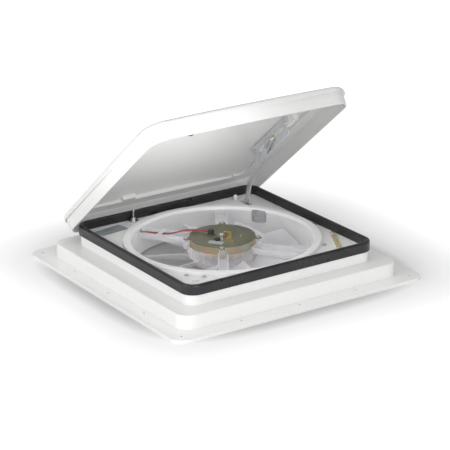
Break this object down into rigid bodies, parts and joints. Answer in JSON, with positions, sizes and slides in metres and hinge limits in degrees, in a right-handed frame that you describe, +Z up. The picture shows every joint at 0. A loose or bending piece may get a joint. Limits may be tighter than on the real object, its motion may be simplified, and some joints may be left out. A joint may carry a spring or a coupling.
{
  "type": "powered roof vent",
  "caption": "Square roof vent for a touring vehicle with a fan in a clear duct and a domed lid raised on rear hinges by a geared arm.",
  "frame": {"origin": "centre of the base flange's lower face", "axes": "+X along the front edge to the right, +Y towards the lid hinges, +Z up out of the roof"},
  "size_m": [0.496, 0.496, 0.3155],
  "materials": {
    "white_moulding": "satin",
    "seal_rubber": "satin",
    "white_ring": "gloss",
    "clear_moulding": "gloss",
    "motor_steel": "satin",
    "passivated_steel": "satin",
    "plated_steel": "satin",
    "black_plastic": "matte",
    "bright_metal": "satin",
    "brass": "satin",
    "zinc_plate": "satin",
    "grey_plastic": "satin",
    "white_nylon": "satin",
    "sensor_board": "satin",
    "gold_strip": "satin",
    "black_rubber": "matte",
    "red_sleeve": "satin",
    "grey_sleeve": "satin",
    "lid_frame_moulding": "satin",
    "lid_moulding": "satin",
    "tan_plastic": "satin",
    "blade_plastic": "gloss"
  },
  "bodies": {
    "base": {"base_frame": "white_moulding", "dome_seal": "seal_rubber", "intake_ring": "white_ring", "duct_shroud": "clear_moulding", "motor_spider": "clear_moulding", "motor_can": "motor_steel", "motor_end_plate": "passivated_steel", "motor_screws": "plated_steel", "motor_connector": "black_plastic", "motor_brush_holder": "black_plastic", "motor_boss": "bright_metal", "motor_terminals": "brass", "motor_bearing": "passivated_steel", "hinge_pin_left": "bright_metal", "hinge_pin_right": "bright_metal", "lift_frame": "zinc_plate", "lift_pivot_pin": "bright_metal", "lift_motor": "motor_steel", "drive_housing": "grey_plastic", "ball_post": "white_nylon", "switch_body": "zinc_plate", "rain_sensor": "sensor_board", "sensor_strips": "gold_strip", "sensor_screw": "plated_steel", "deck_screws": "plated_steel", "deck_foot": "white_nylon", "red_wire": "red_sleeve", "grey_wire": "grey_sleeve", "wire_clip": "white_nylon"},
    "lid": {"lid_frame": "lid_frame_moulding", "lid_cap": "lid_moulding", "lift_bracket": "zinc_plate", "bracket_screws": "plated_steel", "lid_bumper": "black_rubber"},
    "arm": {"lift_arm": "zinc_plate", "lift_sector": "zinc_plate", "lift_spacer": "white_nylon", "roller_pin": "brass", "roller_clip": "bright_metal"},
    "roller": {"arm_roller": "tan_plastic"},
    "pinion": {"drive_pinion": "bright_metal"},
    "fan": {"fan_rotor": "blade_plastic", "fan_shaft": "bright_metal", "rotor_nut": "bright_metal"},
    "plunger": {"switch_plunger": "bright_metal"}
  },
  "joints": [
    {"name": "lid_hinge", "type": "hinge", "parent": "base", "child": "lid", "pos_m": [0, 0.203, 0.039], "axis": [-1, 0, 0], "range_deg": [-39.2, 0]},
    {"name": "lift_arm", "type": "hinge", "parent": "base", "child": "arm", "pos_m": [0.1406, 0.1138, 0.037], "axis": [-1, 0, 0], "range_deg": [-58.08, 0]},
    {"name": "roller_spin", "type": "hinge", "parent": "arm", "child": "roller", "pos_m": [0.13, 0.03837, 0.19779], "axis": [1, 0, 0], "continuous": true},
    {"name": "pinion_spin", "type": "hinge", "parent": "base", "child": "pinion", "pos_m": [0.143, 0.12673, 0.01631], "axis": [-1, 0, 0], "range_deg": [-1, 175]},
    {"name": "fan_spin", "type": "hinge", "parent": "base", "child": "fan", "pos_m": [0, 0, 0.02], "axis": [0, 0, 1], "continuous": true},
    {"name": "switch_press", "type": "slide", "parent": "base", "child": "plunger", "axis": [0, 0, 1], "range_m": [-0.008, 0]}
  ],
  "couplings": [
    {"joint": "lift_arm", "follows": "lid_hinge", "ratio": 1.4815},
    {"joint": "pinion_spin", "follows": "lid_hinge", "ratio": -4.4447},
    {"joint": "switch_press", "follows": "lid_hinge", "m_per_rad": 0.011693}
  ]
}
